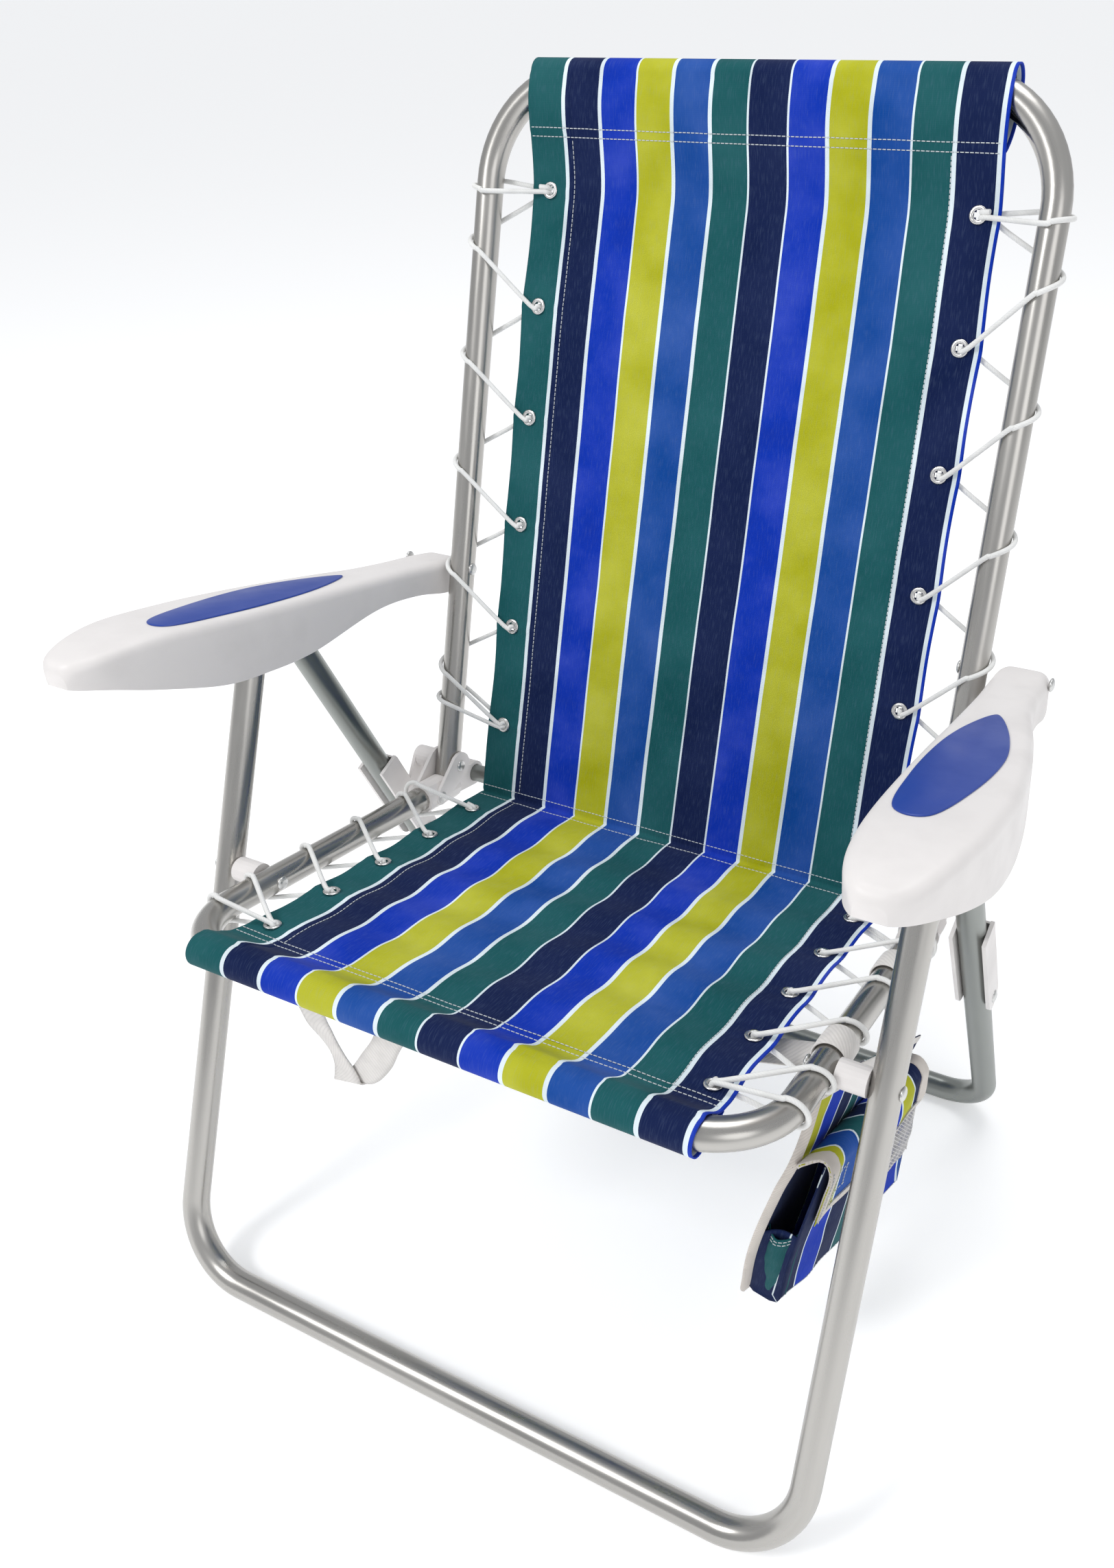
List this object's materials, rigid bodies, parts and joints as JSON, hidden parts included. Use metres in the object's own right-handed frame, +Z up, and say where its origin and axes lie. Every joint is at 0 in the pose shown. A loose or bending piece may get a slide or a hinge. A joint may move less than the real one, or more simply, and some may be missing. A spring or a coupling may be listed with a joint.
{
  "type": "folding high-back beach chair",
  "caption": "Folding high-back beach chair: laced striped sling on an aluminium tube frame, moulded arms with a recline rack, side bag and carrying strap.",
  "frame": {"origin": "on the floor under the middle of the open chair", "axes": "+Z up, the chair faces -Y, +X is the sitter's left hand, where the bag hangs"},
  "size_m": [0.774, 0.7202, 0.9952],
  "materials": {
    "aluminium_tube": "satin anodised",
    "rivet_steel": "plated",
    "white_plastic": "fine texture",
    "blue_plastic": "satin",
    "sling_cloth": "woven, striped",
    "bag_cloth": "woven, striped",
    "bag_net": "open mesh",
    "elastic_cord": "braided",
    "webbing": "diagonal weave"
  },
  "bodies": {
    "seat": {"seat_frame": "aluminium_tube", "sling_seat": "sling_cloth", "seat_lace_left": "elastic_cord", "seat_lace_right": "elastic_cord", "hinge_bracket_left": "white_plastic", "hinge_bracket_right": "white_plastic", "front_leg_spacer_left": "white_plastic", "front_leg_spacer_right": "white_plastic", "hinge_spacer_left": "white_plastic", "hinge_spacer_right": "white_plastic", "seat_leg_rivet_left": "rivet_steel", "seat_leg_rivet_right": "rivet_steel", "back_hinge_rivet_left": "rivet_steel", "back_hinge_rivet_right": "rivet_steel", "bracket_rivet_left": "rivet_steel", "bracket_rivet_right": "rivet_steel", "rear_leg_rivet_left": "rivet_steel", "rear_leg_rivet_right": "rivet_steel", "rear_leg_clevis_left": "white_plastic", "rear_leg_clevis_right": "white_plastic", "rear_cross_bar": "aluminium_tube", "carry_strap": "webbing"},
    "back": {"back_frame": "aluminium_tube", "sling_back": "sling_cloth", "back_lace_left": "elastic_cord", "back_lace_right": "elastic_cord", "arm_rivet_left": "rivet_steel", "arm_rivet_right": "rivet_steel"},
    "arm_left": {"arm_left": "white_plastic", "arm_inlay_left": "blue_plastic", "arm_pin_left": "rivet_steel", "recline_rack_left": "white_plastic"},
    "arm_right": {"arm_right": "white_plastic", "arm_inlay_right": "blue_plastic", "arm_pin_right": "rivet_steel", "recline_rack_right": "white_plastic"},
    "front_legs": {"front_leg_frame": "aluminium_tube", "leg_top_lug_left": "white_plastic", "leg_top_lug_right": "white_plastic"},
    "rear_legs": {"rear_leg_frame": "aluminium_tube", "rear_leg_tip_left": "white_plastic", "rear_leg_tip_right": "white_plastic"},
    "bag": {"bag_pouch": "bag_cloth", "bag_teal_pocket": "bag_cloth", "bag_net_pocket": "bag_net", "bag_strap_front": "webbing", "bag_strap_rear": "webbing"},
    "bag_flap": {"bag_flap": "bag_cloth"}
  },
  "joints": [
    {"name": "back_fold", "type": "hinge", "parent": "seat", "child": "back", "pos_m": [0, 0.09595, 0.34655], "axis": [1, 0, 0], "range_deg": [0, 82]},
    {"name": "arm_left_pivot", "type": "hinge", "parent": "back", "child": "arm_left", "pos_m": [-0.328, 0.17387, 0.54436], "axis": [1, 0, 0], "range_deg": [-82, 0]},
    {"name": "arm_right_pivot", "type": "hinge", "parent": "back", "child": "arm_right", "pos_m": [0.328, 0.17387, 0.54436], "axis": [1, 0, 0], "range_deg": [-82, 0]},
    {"name": "front_leg_fold", "type": "hinge", "parent": "seat", "child": "front_legs", "pos_m": [0, -0.16303, 0.37768], "axis": [1, 0, 0], "range_deg": [0, 82]},
    {"name": "rear_leg_fold", "type": "hinge", "parent": "seat", "child": "rear_legs", "pos_m": [0, 0.0833, 0.257], "axis": [1, 0, 0], "range_deg": [0, 37]},
    {"name": "bag_swing", "type": "hinge", "parent": "seat", "child": "bag", "pos_m": [0.276, -0.07547, 0.35777], "axis": [0, -0.9778, 0.2096], "range_deg": [-15, 0]},
    {"name": "bag_flap_lift", "type": "hinge", "parent": "bag", "child": "bag_flap", "pos_m": [0.27569, -0.1672, 0.31965], "axis": [-0.0721, -0.9851, 0.1562], "range_deg": [0, 12]}
  ],
  "couplings": [
    {"joint": "arm_left_pivot", "follows": "back_fold", "ratio": -1},
    {"joint": "arm_right_pivot", "follows": "back_fold", "ratio": -1},
    {"joint": "front_leg_fold", "follows": "back_fold", "ratio": 1},
    {"joint": "rear_leg_fold", "follows": "back_fold", "ratio": 0.44}
  ]
}
